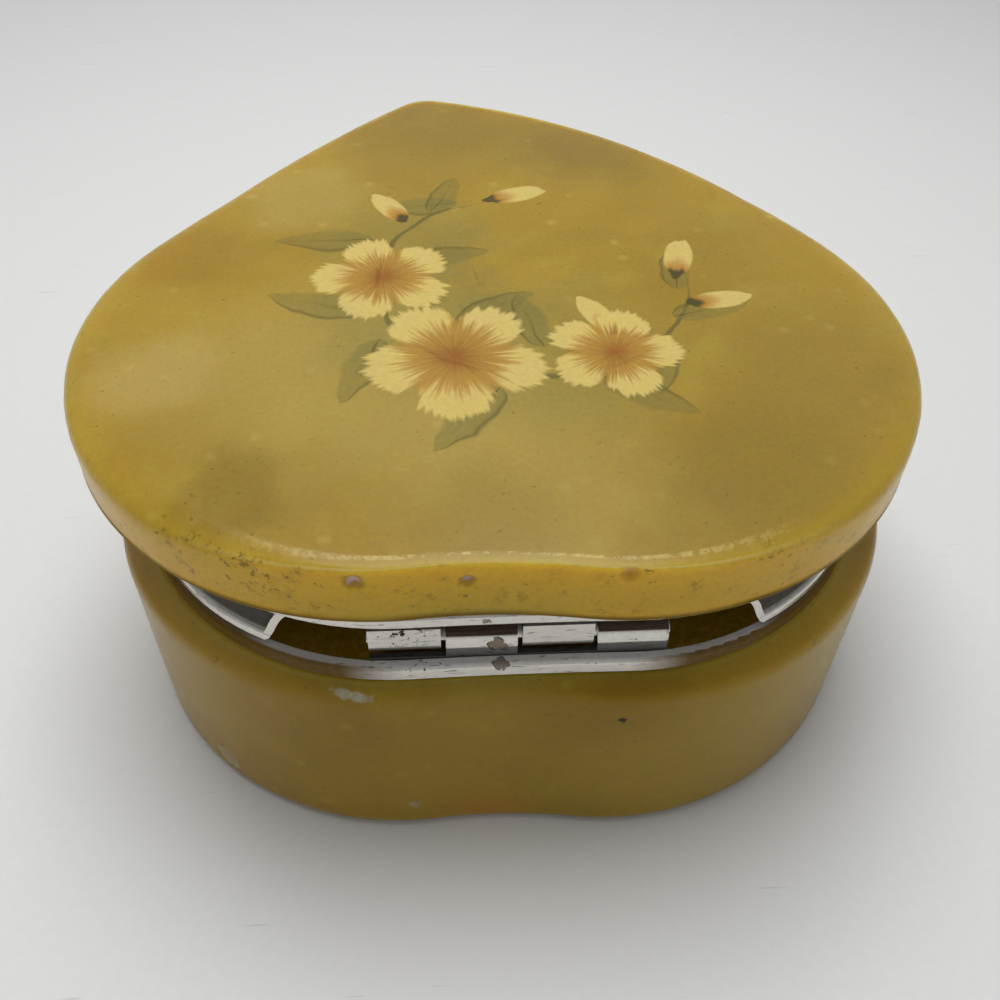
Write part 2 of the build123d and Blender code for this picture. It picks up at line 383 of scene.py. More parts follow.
def lid_rows(settings, columns):
    """Rows from the middle of the top, over the bevel, down the side and into the hollow underneath."""
    outline, inwards = placed_loop(STONE_OUTLINE, columns, "alabaster_lid")
    mouth, mouth_inwards = placed_loop(MOUTH_OUTLINE, columns, "base_band")
    bottom, top = (corner.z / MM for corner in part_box("alabaster_lid"))
    centre = outline.mean(0)
    side = sideways(outline, 44) ** 2.2
    front = outline[:, 1] > 0
    width = (settings.bevel_width + (settings.side_width - settings.bevel_width) * side) / MM
    drop = (settings.bevel_drop + (settings.side_drop - settings.bevel_drop) * side) / MM
    crown = settings.crown / MM
    bruised = 0.75 * np.clip(1 - 1.6 * side, 0, 1) * front

    edge = level(outline + inwards * width[:, None], top - crown)
    # The glow mark tells the material where to paint light coming through the stone onto the lid's side
    brink = level(outline, top - drop, glow=0.3)
    edge_softness, brink_softness = 0.3 + 1.7 * side, 0.2 + 1.6 * side
    top_edge = level(outline + inwards * (width + edge_softness)[:, None], top - crown * 0.97)
    lower = level(outline, top - drop - brink_softness, glow=0.75)
    rows = [
        level(towards(centre, top_edge[:, :2], share), top - crown * 0.97 * share**4)
        for share in (0, 0.15, 0.3, 0.45, 0.6, 0.72, 0.82, 0.9, 0.95, 0.98)]
    rows.append(level(outline + inwards * (width + edge_softness + 0.35)[:, None], top - crown * 0.96))
    rows.append(top_edge)
    flat = len(rows)
    on_bevel = step_along(edge, brink, edge_softness)
    before_brink = step_along(brink, edge, brink_softness)
    rows += bent(top_edge, edge, on_bevel, 5)
    for row in rows[-4:-1]:
        row[:, CREST] = bruised
    rows += straight(on_bevel, before_brink, 3)
    rows += bent(before_brink, brink, lower, 5)
    # A painted highlight line at the foot of the bevel, at the front
    for row in rows[-4:-2]:
        row[:, BRINK_HIGHLIGHT] = np.clip(1 - 1.2 * side, 0, 1) * front
    bottom_rounding = 0.3
    fade_below, fade_above = 1.2, 2.6
    side_foot = level(outline, bottom + bottom_rounding, glow=0.4)
    above_foot = level(outline, bottom + bottom_rounding + fade_below, glow=0.9)
    middle = level(outline, top - drop - brink_softness - fade_above, glow=0.95)
    rows += straight(lower, middle, 5) + straight(middle, above_foot, 8) + [side_foot]
    outer = len(rows)
    for across, down in quarter(4)[1:]:
        inset = bottom_rounding * down
        rows.append(level(outline + inwards * inset, bottom + bottom_rounding * across))
    uneven(rows[:outer], inwards, depth=settings.waviness / MM, size=9, seed=1)
    uneven(rows[flat:outer], inwards, depth=0.05, size=1.6, seed=2)
    for chip in LID_CHIPS:
        dent(rows[flat:outer], inwards, chip.place, chip.radius, chip.depth)

    underside_inset, ledge, hollow_depth, hollow_rounding = 1.5, 4.0, 3.0, 2.0
    rows.append(level(outline + inwards * underside_inset, bottom))
    rows.append(level(mouth + mouth_inwards * ledge, bottom, inside=1))
    for across, down in quarter(5):
        inset = ledge + hollow_rounding * down
        height = bottom + hollow_depth - hollow_rounding * across
        rows.append(level(mouth + mouth_inwards * inset, height, inside=1))
    hollow_edge = mouth + mouth_inwards * (ledge + hollow_rounding)
    for share in (0.9, 0.6, 0.3, 0):
        rows.append(level(towards(centre, hollow_edge, share), bottom + hollow_depth, inside=1))
    return rows


def base_rows(settings, columns):
    """Rows from the middle of the underside, up the wall, over the shoulder and down into the bowl."""
    outline, inwards = placed_loop(STONE_OUTLINE, columns, "alabaster_base", STONE_TRIM)
    mouth, mouth_inwards = placed_loop(MOUTH_OUTLINE, columns, "base_band")
    bottom, top = (corner.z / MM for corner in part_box("alabaster_base"))
    centre = outline.mean(0)
    ridge = (settings.ridge_height - settings.ridge_dip * sideways(outline, 55) ** 2) / MM

    foot_rounding, ridge_softness = 2.0, 1.6
    foot = outline + inwards * (STONE_TRIM + foot_rounding)
    rows = [level(towards(centre, foot, share), bottom) for share in (0, 0.3, 0.6, 0.85)]
    underside = len(rows)
    for across, down in quarter(6)[::-1]:
        inset = STONE_TRIM + foot_rounding * down
        rows.append(level(outline + inwards * inset, bottom + foot_rounding * across))
    wall = outline + inwards * STONE_TRIM
    corner = level(wall, ridge)
    below = level(wall, ridge - ridge_softness)
    mouth_edge = level(mouth, top)
    beyond = step_along(corner, mouth_edge, ridge_softness)
    rows += straight(level(wall, bottom + foot_rounding), below, 39)
    rows += bent(below, corner, beyond, 8)
    rows += straight(beyond, mouth_edge, 6)
    carved = rows[underside:-2]
    uneven(carved, inwards, depth=settings.waviness / MM, size=13, seed=3)
    uneven(carved, inwards, depth=0.04, size=2.2, seed=4)
    for chip in BASE_CHIPS:
        dent(carved, inwards, chip.place, chip.radius, chip.depth)

    seat_inset, seat_depth = 0.8, 6.0
    bowl_inset, floor, floor_rounding = 2.8, 8.0, 5.0
    seat = mouth + mouth_inwards * seat_inset
    bowl = mouth + mouth_inwards * bowl_inset
    rows.append(level(seat, top))
    rows.append(level(seat, top - seat_depth, inside=1))
    brim = level(bowl, top - seat_depth, inside=1)
    rows.append(brim)
    rows += straight(brim, level(bowl, floor + floor_rounding, inside=1), 5)
    for across, down in quarter(8)[1:]:
        inset = bowl_inset + floor_rounding * down
        rows.append(level(mouth + mouth_inwards * inset, floor + floor_rounding * across, inside=1))
    floor_edge = mouth + mouth_inwards * (bowl_inset + floor_rounding)
    rows += [level(towards(centre, floor_edge, share), floor, inside=1) for share in (0.85, 0.6, 0.3, 0)]
    return rows


def quarter(steps):
    """Shares across and down a rounded edge, from its top to its foot."""
    angles = [math.pi / 2 * step / steps for step in range(steps + 1)]
    return [(1 - math.sin(angle), 1 - math.cos(angle)) for angle in angles]


# Materials

MATH, VECTOR, PARTS = "ShaderNodeMath", "ShaderNodeVectorMath", "ShaderNodeSeparateXYZ"
MIX, RAMP, BUMP = "ShaderNodeMix", "ShaderNodeMapRange", "ShaderNodeBump"
NOISE, CELLS = "ShaderNodeTexNoise", "ShaderNodeTexVoronoi"
COORDINATES, MAPPING = "ShaderNodeTexCoord", "ShaderNodeMapping"
SHADER, SURFACE = "ShaderNodeBsdfPrincipled", "ShaderNodeOutputMaterial"


def add(tree, kind, inputs=(), **settings):
    """The outputs of one new node; its inputs, by place or by name, are linked or given values."""
    node = tree.nodes.new(kind)
    for name, value in settings.items():
        setattr(node, name, value)
    for key, value in inputs.items() if isinstance(inputs, dict) else enumerate(inputs):
        if isinstance(value, bpy.types.NodeSocket):
            tree.links.new(value, node.inputs[key])
        else:
            node.inputs[key].default_value = value
    return node.outputs


def new_material(name):
    material = bpy.data.materials.new(name)
    material.use_nodes = True
    material.node_tree.nodes.clear()
    return material, material.node_tree


def motif(name, draw, settings):
    """A painted motif as a node group: local coordinates in, colour and coverage out."""
    tree = bpy.data.node_groups.new(name, "ShaderNodeTree")
    for socket, way, kind in (
        ("Vector", "INPUT", "Vector"), ("Wobble", "INPUT", "Vector"),
        ("Color", "OUTPUT", "Color"), ("Alpha", "OUTPUT", "Float"),
    ):
        tree.interface.new_socket(socket, in_out=way, socket_type=f"NodeSocket{kind}")
    given = add(tree, "NodeGroupInput")
    colour, cover = draw(tree, given["Vector"], given["Wobble"], settings)
    add(tree, "NodeGroupOutput", {"Color": colour, "Alpha": cover})
    return tree


PETALS = 5


def draw_blossom(tree, place, wobble, settings):
    """Five rounded petals within 1 of the middle, in streaky strokes that run outwards."""
    flat = add(tree, VECTOR, (place, (1, 1, 0)), operation="MULTIPLY")[0]
    away = add(tree, VECTOR, (flat,), operation="LENGTH")["Value"]
    heading = add(tree, VECTOR, (flat,), operation="NORMALIZE")[0]
    parts = add(tree, PARTS, {"Vector": flat})
    angle = add(tree, MATH, (parts["Y"], parts["X"]), operation="ARCTAN2")[0]
    brush = add(tree, VECTOR, (heading, (9, 9, 9), flat), operation="MULTIPLY_ADD")
    streak = add(tree, NOISE, {"Vector": brush[0], "Scale": 1.5, "Detail": 2})[0]
    sway = add(tree, PARTS, {"Vector": wobble})["X"]
    turned = add(tree, MATH, (angle, PETALS / 2, sway), operation="MULTIPLY_ADD")[0]
    wave = add(tree, MATH, (turned,), operation="COSINE")[0]
    lobe = add(tree, MATH, (wave,), operation="ABSOLUTE")[0]
    full = add(tree, MATH, (lobe, 0.45), operation="POWER")[0]
    reach = add(tree, MATH, (full, 0.42, 0.42), operation="MULTIPLY_ADD")[0]
    reach = add(tree, MATH, (streak, 0.3, reach), operation="MULTIPLY_ADD")[0]
    spare = add(tree, MATH, (reach, away), operation="SUBTRACT")[0]
    inside = add(tree, RAMP, {"Value": spare, "From Min": 0.1, "From Max": 0.16})[0]
    depth = add(tree, MATH, (streak, 0.7, away), operation="MULTIPLY_ADD")[0]
    mid = add(tree, RAMP, {"Value": depth, "From Min": 0.38, "From Max": 0.66})[0]
    outer = add(tree, RAMP, {"Value": depth, "From Min": 0.72, "From Max": 0.92})[0]
    parted = add(tree, RAMP, {"Value": lobe, "From Min": 0.08, "From Max": 0.34})[0]
    outer = add(tree, MATH, (outer, parted), operation="MULTIPLY")[0]
    colour = add(tree, MIX, {
        "Factor": mid, "A": opaque(settings.throat), "B": opaque(settings.petal_base)}, data_type="RGBA")
    colour = add(tree, MIX, {
        "Factor": outer, "A": colour["Result"], "B": opaque(settings.petal)}, data_type="RGBA")
    cover = add(tree, RAMP, {"Value": outer, "To Min": 0.7, "To Max": 0.97})[0]
    return colour["Result"], add(tree, MATH, (cover, inside), operation="MULTIPLY")[0]


def swelling(tree, along, taper):
    """The width of a leaf or bud along its length, pointed at both ends, and what is left of the length."""
    rest = add(tree, MATH, (1.0, along), operation="SUBTRACT")[0]
    swell = add(tree, MATH, (along, 0.6), operation="POWER")[0]
    narrowing = add(tree, MATH, (rest, taper), operation="POWER")[0]
    return add(tree, MATH, (swell, narrowing), operation="MULTIPLY")[0], rest


def draw_leaf(tree, place, wobble, settings):
    """A leaf from 0 to 1 along X: a thin wash inside, with a dark edge and vein."""
    swayed = add(tree, VECTOR, (wobble, (0.1, 0.16, 0), place), operation="MULTIPLY_ADD")
    parts = add(tree, PARTS, {"Vector": swayed[0]})
    along = add(tree, RAMP, {"Value": parts["X"], "From Min": 0.04, "From Max": 1.04})[0]
    width, rest = swelling(tree, along, taper=0.85)
    half = add(tree, MATH, (width, 0.5, 0.001), operation="MULTIPLY_ADD")[0]
    across = add(tree, MATH, (parts["Y"], 0.08), operation="SUBTRACT")[0]
    across = add(tree, MATH, (across, half), operation="DIVIDE")[0]
    off = add(tree, MATH, (across,), operation="ABSOLUTE")[0]
    fill = add(tree, RAMP, {"Value": off, "From Min": 1.15, "From Max": 0.75})[0]
    edge = add(tree, RAMP, {"Value": off, "From Min": 0.7, "From Max": 0.95})[0]
    edge = add(tree, MATH, (edge, fill), operation="MULTIPLY")[0]
    shade = add(tree, RAMP, {"Value": across, "From Min": -1.0, "To Min": 0.5, "To Max": 1.6})
    edge = add(tree, MATH, (edge, shade[0]), operation="MULTIPLY")[0]
    vein = add(tree, RAMP, {"Value": off, "From Min": 0.16, "From Max": 0.05})[0]
    vein = add(tree, MATH, (vein, rest), operation="MULTIPLY")[0]
    line = add(tree, MATH, (edge, vein), operation="MAXIMUM")[0]
    colour = add(tree, MIX, {
        "Factor": line, "A": opaque(settings.leaf), "B": opaque(settings.ink)}, data_type="RGBA")
    length = add(tree, MATH, (parts["X"], 0.54, 0.5), operation="COMPARE")[0]
    wash = add(tree, MATH, (fill, 0.45), operation="MULTIPLY")[0]
    cover = add(tree, MATH, (line, 0.8), operation="MULTIPLY")[0]
    cover = add(tree, MATH, (cover, wash), operation="MAXIMUM")[0]
    return colour["Result"], add(tree, MATH, (cover, length), operation="MULTIPLY")[0]


def draw_bud(tree, place, wobble, settings):
    """A closed bud from 0 to 1 along X, cream with a green cup at its foot."""
    streak = add(tree, VECTOR, (place, (1.2, 6, 1)), operation="MULTIPLY")[0]
    streak = add(tree, NOISE, {"Vector": streak, "Scale": 1.6, "Detail": 1})[0]
    parts = add(tree, PARTS, {"Vector": place})
    along = add(tree, MATH, (streak, 0.25, parts["X"]), operation="MULTIPLY_ADD")[0]
    along = add(tree, RAMP, {"Value": along, "From Min": 0.1, "From Max": 1.1})[0]
    half = add(tree, MATH, (swelling(tree, along, taper=0.5)[0], 0.46), operation="MULTIPLY")[0]
    off = add(tree, MATH, (parts["Y"],), operation="ABSOLUTE")[0]
    spare = add(tree, MATH, (half, off), operation="SUBTRACT")[0]
    inside = add(tree, RAMP, {"Value": spare, "From Min": 0.0, "From Max": 0.03})[0]
    cup = add(tree, MATH, (off, 0.9, along), operation="MULTIPLY_ADD")[0]
    bloom = add(tree, RAMP, {"Value": cup, "From Min": 0.24, "From Max": 0.34})[0]
    warm = add(tree, RAMP, {"Value": cup, "From Min": 0.36, "From Max": 0.6})[0]
    petal = add(tree, MIX, {
        "Factor": warm, "A": opaque(settings.petal_base), "B": opaque(settings.petal)}, data_type="RGBA")
    colour = add(tree, MIX, {
        "Factor": bloom, "A": opaque(settings.ink), "B": petal["Result"]}, data_type="RGBA")
    return colour["Result"], add(tree, MATH, (inside, 0.93), operation="MULTIPLY")[0]


def draw_stem(tree, place, wobble, settings):
    """An arc of radius 1 round the middle, open towards +X, thin at both ends."""
    swayed = add(tree, VECTOR, (wobble, (0.09, 0.09, 0), place), operation="MULTIPLY_ADD")[0]
    flat = add(tree, VECTOR, (swayed, (1, 1, 0)), operation="MULTIPLY")[0]
    away = add(tree, VECTOR, (flat,), operation="LENGTH")["Value"]
    parts = add(tree, PARTS, {"Vector": flat})
    opening = add(tree, RAMP, {"Value": parts["X"], "From Min": 0.85, "From Max": 0.1, "To Max": 0.022})
    off = add(tree, MATH, (away, 1.05), operation="SUBTRACT")[0]
    off = add(tree, MATH, (off,), operation="ABSOLUTE")[0]
    spare = add(tree, MATH, (opening[0], off), operation="SUBTRACT")[0]
    cover = add(tree, RAMP, {"Value": spare, "From Min": 0.0, "From Max": 0.012, "To Max": 0.75})[0]
    sway = add(tree, PARTS, {"Vector": wobble})["X"]
    colour = add(tree, MIX, {
        "Factor": sway, "A": opaque(settings.ink), "B": opaque(settings.leaf)}, data_type="RGBA")
    return colour["Result"], cover


def draw_wash(tree, place, wobble, settings):
    """A soft cloud of thin colour about 1 in radius."""
    swayed = add(tree, VECTOR, (wobble, (0.7, 0.7, 0), place), operation="MULTIPLY_ADD")[0]
    flat = add(tree, VECTOR, (swayed, (1, 1, 0)), operation="MULTIPLY")[0]
    away = add(tree, VECTOR, (flat, (0.35, 0.35, 0)), operation="DISTANCE")["Value"]
    cover = add(tree, RAMP, {
        "Value": away, "From Min": 1.0, "From Max": 0.4, "To Max": 0.5}, interpolation_type="SMOOTHSTEP")
    sway = add(tree, PARTS, {"Vector": wobble})["X"]
    tone = add(tree, MIX, {
        "Factor": sway, "A": opaque(settings.wash), "B": opaque(settings.leaf)}, data_type="RGBA")
    return tone["Result"], cover[0]


# The garland: each motif's bearing on its arc, offset outwards, turn from outwards and size,
# in degrees and millimetres

GARLAND_MIDDLE = Vector((-4.5, 1.0, 0))
GARLAND_RADIUS = 22.0
BRUSH_WOBBLE = 6
GARLAND = (
    ("wash", draw_wash, ((35, -2, 0, 20), (95, -3, 0, 22), (-25, -2, 0, 17))),
    ("stem", draw_stem, ((0, -GARLAND_RADIUS, -125, GARLAND_RADIUS),)),
    ("leaf", draw_leaf, (
        (-62, 1, 70, 13), (-50, 1, -60, 12), (-22, 4, 25, 15), (-12, -3, 200, 13), (22, 4, -40, 15),
        (36, 5, 35, 14), (48, -5, 165, 14), (78, 5, -25, 15), (92, -4, 190, 13), (108, 4, 40, 14),
        (138, 2, -60, 13), (150, 1, 50, 13), (168, 0, 95, 12))),
    ("bud", draw_bud, (
        (-74, 0, -85, 11), (-38, 2, -20, 10), (126, -3, 170, 10), (160, 2, 30, 10), (176, 0, 80, 11))),
    ("blossom", draw_blossom, ((2, 0, 10, 12), (60, 1, 40, 14.5), (118, 0, 75, 11))),
)


def paint_spray(tree, place, tint, settings):
    """A garland of three blossoms with buds and leaves, painted over the stone's own colour."""
    wobble = add(tree, NOISE, {"Vector": place, "Scale": 1 / (BRUSH_WOBBLE * MM), "Detail": 2})["Color"]
    for kind, draw, motifs in GARLAND:
        group = motif(f"painted_{kind}", draw, settings)
        for bearing, offset, turn, size in motifs:
            heading = math.radians(bearing)
            outwards = Vector((math.cos(heading), math.sin(heading), 0))
            middle = GARLAND_MIDDLE + outwards * (GARLAND_RADIUS + offset)
            local = add(tree, MAPPING, {
                "Vector": place, "Location": middle * MM, "Scale": [size * MM] * 3,
                "Rotation": (0, 0, heading + math.radians(turn))}, vector_type="TEXTURE")[0]
            paint = add(tree, "ShaderNodeGroup", {"Vector": local, "Wobble": wobble}, node_tree=group)
            tint = add(tree, MIX, {
                "Factor": paint["Alpha"], "A": tint, "B": paint["Color"]}, data_type="RGBA")["Result"]
    return tint


# Marks and stains, with a few painted shadows and glows, in millimetres: a mark is full out to the core
# share of its radius

Mark = namedtuple("Mark", "place radius colour share core", defaults=(0.8,))
Spot = namedtuple("Spot", "place radius share")
SCUFF, SCUFF_EDGE, BRUISE_RING = "#b3ae97", "#a39b7c", "#7a5f1e"
STONE_MARKS = (
    Mark((18.7, 57.4, 56.9), 1.5, BRUISE_RING, 0.6, 0.5),
    Mark((18.7, 57.4, 56.9), 1.0, "#c4b8a8", 0.95),
    Mark((6.2, 57.0, 56.0), 1.3, BRUISE_RING, 0.7, 0.5),
    Mark((6.2, 57.0, 56.0), 0.85, "#c4b8a8", 0.9),
    # The next two: painted shadow in a dent on the lid's side, and a pale lip above it
    Mark((-11.9, 58.4, 57.8), 1.4, "#7d6028", 0.5, 0.3), Mark((-11.7, 58.2, 58.8), 1.0, "#b49c5c", 0.7, 0.4),
    Mark((24.6, 56.2, 35.2), 0.7, SCUFF_EDGE, 0.6), Mark((23.7, 56.6, 34.8), 0.8, SCUFF_EDGE, 0.6),
    Mark((22.7, 57.0, 34.4), 1.1, SCUFF, 0.6), Mark((21.7, 57.2, 34.1), 1.25, SCUFF, 0.65),
    Mark((20.7, 57.4, 33.9), 1.2, SCUFF, 0.65), Mark((19.7, 57.5, 33.8), 1.0, SCUFF, 0.6),
    Mark((18.7, 57.6, 33.7), 0.8, SCUFF_EDGE, 0.6),
    Mark((42.6, 47.8, 4.4), 2.4, "#b5a888", 0.8),
    Mark((-13.7, 58.8, 28.6), 0.55, "#2c2210", 0.95),
    Mark((14.2, 57.8, 6.4), 1.0, "#a8996a", 0.7),
    # Painted glow: warm orange at the front foot of the base, for light coming through the stone
    Mark((4.0, 57.0, 0.5), 9.0, "#b87a20", 0.6, 0.2),
)
GRUBBY = (
    Spot((31.0, 54.8, 57.2), 6.0, 0.16), Spot((24.0, 56.6, 56.0), 5.0, 0.09),
    Spot((38.5, 50.5, 57.0), 7.0, 0.1), Spot((-31.0, 56.0, 57.6), 8.0, 0.1),
    Spot((-14.0, 58.3, 58.8), 3.5, 0.12), Spot((8.0, 56.8, 54.0), 7.0, 0.06))
MILKY, DUSKY, UMBER = "#ab9856", "#836e36", "#8a7538"
LID_PATCHES = (
    Mark((20.0, 24.0, 59.4), 30.0, MILKY, 0.5, 0.3), Mark((-2.0, 40.0, 59.4), 26.0, MILKY, 0.45, 0.2),
    Mark((46.0, 24.0, 59.4), 13.0, "#b39c5e", 0.5, 0.3),
    Mark((30.0, -22.0, 59.4), 15.0, "#ad9a58", 0.4, 0.3),
    Mark((-42.0, 26.0, 59.4), 27.0, DUSKY, 0.4, 0.2), Mark((11.0, -48.0, 59.4), 30.0, DUSKY, 0.6, 0.2),
    Mark((34.0, 45.0, 59.4), 9.0, "#7d6628", 0.5, 0.4), Mark((46.0, -4.0, 59.4), 11.0, "#8d6c24", 0.4, 0.4),
    Mark((-31.0, 44.0, 59.4), 17.0, "#826d30", 0.55, 0.3), Mark((-35.0, -8.0, 59.4), 12.0, DUSKY, 0.2, 0.4),
    Mark((-17.0, -40.0, 59.4), 20.0, "#7d6a38", 0.55, 0.2), Mark((4.0, 51.0, 59.4), 15.0, UMBER, 0.45, 0.2),
    Mark((-21.0, 51.0, 59.4), 15.0, UMBER, 0.5, 0.2))
BOWL_PATCHES = (
    Mark((-38.0, 50.0, 30.0), 26.0, "#b4962f", 0.5, 0.3),
    Mark((-26.0, 58.0, 12.0), 24.0, "#a98c30", 0.5, 0.3),
    Mark((2.0, 58.0, 14.0), 26.0, "#a88a2c", 0.45, 0.3),
    Mark((41.0, 46.0, 34.0), 14.0, "#a98b2c", 0.5, 0.3))

# The stone's patterns, with their real sizes in millimetres and their colours, and where painted glow and
# painted shade go on the lid

CLOUD, ISLAND, MILK, FLECK, SPECK = 34, 27, 13, 7, 4.5
SOIL, RAGGED, BRUISE, GRAIN = 2.6, 1.4, 1.1, 0.7
ISLAND_COLOUR, FLECK_COLOUR, SPECK_COLOUR = "#87702a", "#c3ae62", "#4e3b12"
# The foot colour is painted shade at the foot of the lid's side and under its edge
FOOT_SHADE, SOIL_COLOUR, GRUBBY_COLOUR = "#4a2a0a", "#7a611c", "#5a4616"
PATCH_DRIFT = Vector((14, 14, 0)) * MM
MARK_RAGGEDNESS = Vector((1.2, 1.2, 1.2)) * MM
# Heights over which the painted glow on the lid's side turns from glow to brow
GLOW_HEIGHTS = (50 * MM, 57 * MM)
# Heights over which the painted shade at the lid's foot fades in
FOOT_HEIGHTS = (50.6 * MM, 49.7 * MM)
SCATTER_DEPTH = 10 * MM
SCATTER, FOOT_SCATTER = 0.9, 0.1


def near(tree, place, middle, radius, core, share, **settings):
    """The share out to the core, fading to nothing at the radius, round a middle in metres."""
    away = add(tree, VECTOR, (place, middle), operation="DISTANCE")["Value"]
    return add(tree, RAMP, {
        "Value": away, "From Min": radius, "From Max": core, "To Max": share}, **settings)[0]


def soiled(tree, value, place, spots):
    """The value, raised towards each spot, so that more of it passes a threshold there."""
    for spot in spots:
        more = near(tree, place, Vector(spot.place) * MM, spot.radius * MM, 0.0, spot.share)
        value = add(tree, MATH, (value, more), operation="ADD")[0]
    return value


def marked(tree, tint, place, wander, reach, marks, **settings):
    """The tint under its marks, whose outlines wander by up to half the reach."""
    moved = add(tree, VECTOR, (wander, reach, place), operation="MULTIPLY_ADD")[0]
    for mark in marks:
        radius = mark.radius * MM
        middle = Vector(mark.place) * MM + reach / 2
        factor = near(tree, moved, middle, radius, radius * mark.core, mark.share, **settings)
        tint = add(tree, MIX, {
            "Factor": factor, "A": tint, "B": opaque(srgb(mark.colour))}, data_type="RGBA")["Result"]
    return tint


def alabaster(settings, name, tint_share, patches, lid=False, spray=None):
    """Alabaster, carved, smoothed by rubbing and waxed: cloudy, translucent, softly glossy, with old
    bruises; painted glow, highlight and shade on the lid.
    """
    material, tree = new_material(name)
    place = add(tree, COORDINATES)["Object"]
    parts = add(tree, PARTS, {"Vector": place})
    crest, brink_highlight, glow, inside = (
        add(tree, "ShaderNodeAttribute", attribute_name=mark)["Fac"] for mark in MARKS)

    cloud = add(tree, NOISE, {"Vector": place, "Scale": 1 / (CLOUD * MM), "Detail": 3, "Distortion": 0.7})
    island = add(tree, NOISE, {"Vector": place, "Scale": 1 / (ISLAND * MM), "Detail": 2, "Distortion": 1.2})
    milk = add(tree, NOISE, {"Vector": place, "Scale": 1 / (MILK * MM), "Detail": 4, "Roughness": 0.6})
    flecks = add(tree, CELLS, {"Vector": place, "Scale": 1 / (FLECK * MM)})
    specks = add(tree, CELLS, {"Vector": place, "Scale": 1 / (SPECK * MM)})
    grain = add(tree, NOISE, {"Vector": place, "Scale": 1 / (GRAIN * MM), "Detail": 2})[0]
    tint = opaque(settings.honey)
    for value, start, end, share, colour in (
        (cloud[0], 0.38, 0.64, 1.0, settings.amber),
        (island[0], 0.55, 0.59, 0.25, srgb(ISLAND_COLOUR)),
        (milk[0], 0.5, 0.7, 0.6, settings.pale),
        (flecks["Distance"], 0.16, 0.02, 0.4, srgb(FLECK_COLOUR)),
        (specks["Distance"], 0.05, 0.03, 0.5, srgb(SPECK_COLOUR)),
    ):
        factor = add(tree, RAMP, {"Value": value, "From Min": start, "From Max": end, "To Max": share})[0]
        tint = add(tree, MIX, {"Factor": factor, "A": tint, "B": opaque(colour)}, data_type="RGBA")["Result"]
    tint = add(tree, VECTOR, (tint, tint_share), operation="MULTIPLY")[0]
    tint = marked(
        tree, tint, place, milk["Color"], PATCH_DRIFT, patches, interpolation_type="SMOOTHSTEP")

    # Painted light: the lid's side takes the glow colour, turning to brow higher up, for light that comes
    # through the stone
    rise = add(tree, RAMP, {
        "Value": parts["Z"], "From Min": GLOW_HEIGHTS[0], "From Max": GLOW_HEIGHTS[1]})[0]
    through = add(tree, MIX, {
        "Factor": rise, "A": opaque(settings.glow), "B": opaque(settings.brow)}, data_type="RGBA")
    lit = add(tree, MATH, (glow, 0.9), operation="MULTIPLY")[0]
    # The highlight mark paints a pale highlight line in the crust colour
    highlight_share = add(tree, MATH, (brink_highlight, 0.9), operation="MULTIPLY")[0]
    layers = [(lit, through["Result"]), (highlight_share, opaque(settings.crust_and_highlight))]
    scatter = SCATTER
    # On the lid, painted shade: dark brown at the foot of the side, about a third of it on the underside,
    # with less scatter there
    if lid:
        foot = add(tree, RAMP, {
            "Value": parts["Z"], "From Min": FOOT_HEIGHTS[0], "From Max": FOOT_HEIGHTS[1],
            "To Max": 0.9})[0]
        outside = add(tree, RAMP, {"Value": glow, "From Max": 0.2, "To Min": 0.35})[0]
        foot = add(tree, MATH, (foot, outside), operation="MULTIPLY")[0]
        scatter = add(tree, RAMP, {
            "Value": foot, "From Max": 0.6, "To Min": SCATTER, "To Max": FOOT_SCATTER})[0]
        layers.append((foot, opaque(srgb(FOOT_SHADE))))

    soil = add(tree, NOISE, {"Vector": place, "Scale": 1 / (SOIL * MM), "Detail": 4, "Roughness": 0.75})
    soil = add(tree, RAMP, {"Value": soil[0], "From Min": 0.54, "From Max": 0.7, "To Max": 0.5})
    soil = add(tree, MATH, (soil[0], glow), operation="MULTIPLY")[0]
    bruise = add(tree, NOISE, {
        "Vector": place, "Scale": 1 / (BRUISE * MM), "Detail": 3, "Roughness": 0.7})[0]
    grubby = soiled(tree, bruise, place, GRUBBY if lid else ())
    grubby = add(tree, RAMP, {"Value": grubby, "From Min": 0.65, "From Max": 0.75, "To Max": 0.7})[0]
    bruised = add(tree, RAMP, {"Value": bruise, "From Min": 0.44, "From Max": 0.54})[0]
    bruised = add(tree, MATH, (bruised, crest), operation="MULTIPLY")[0]
    layers += [
        (soil, opaque(srgb(SOIL_COLOUR))), (grubby, opaque(srgb(GRUBBY_COLOUR))),
        (bruised, opaque(settings.crust_and_highlight))]
    for factor, colour in layers:
        tint = add(tree, MIX, {"Factor": factor, "A": tint, "B": colour}, data_type="RGBA")["Result"]
    ragged = add(tree, NOISE, {"Vector": place, "Scale": 1 / (RAGGED * MM), "Detail": 2})["Color"]
    tint = marked(tree, tint, place, ragged, MARK_RAGGEDNESS, STONE_MARKS)
    if spray:
        tint = paint_spray(tree, place, tint, spray)
    even = add(tree, RAMP, {
        "Value": grain, "From Min": 0.3, "From Max": 0.7, "To Min": 0.95, "To Max": 1.05})[0]
    tint = add(tree, VECTOR, (tint, even), operation="MULTIPLY")[0]

    pitted = add(tree, MATH, (bruised, bruise, grain), operation="MULTIPLY_ADD")[0]
    bump = add(tree, BUMP, {"Height": pitted, "Strength": 0.2, "Distance": 0.08 * MM})
    gloss = add(tree, RAMP, {"Value": inside, "To Min": 0.25, "To Max": 0.6})
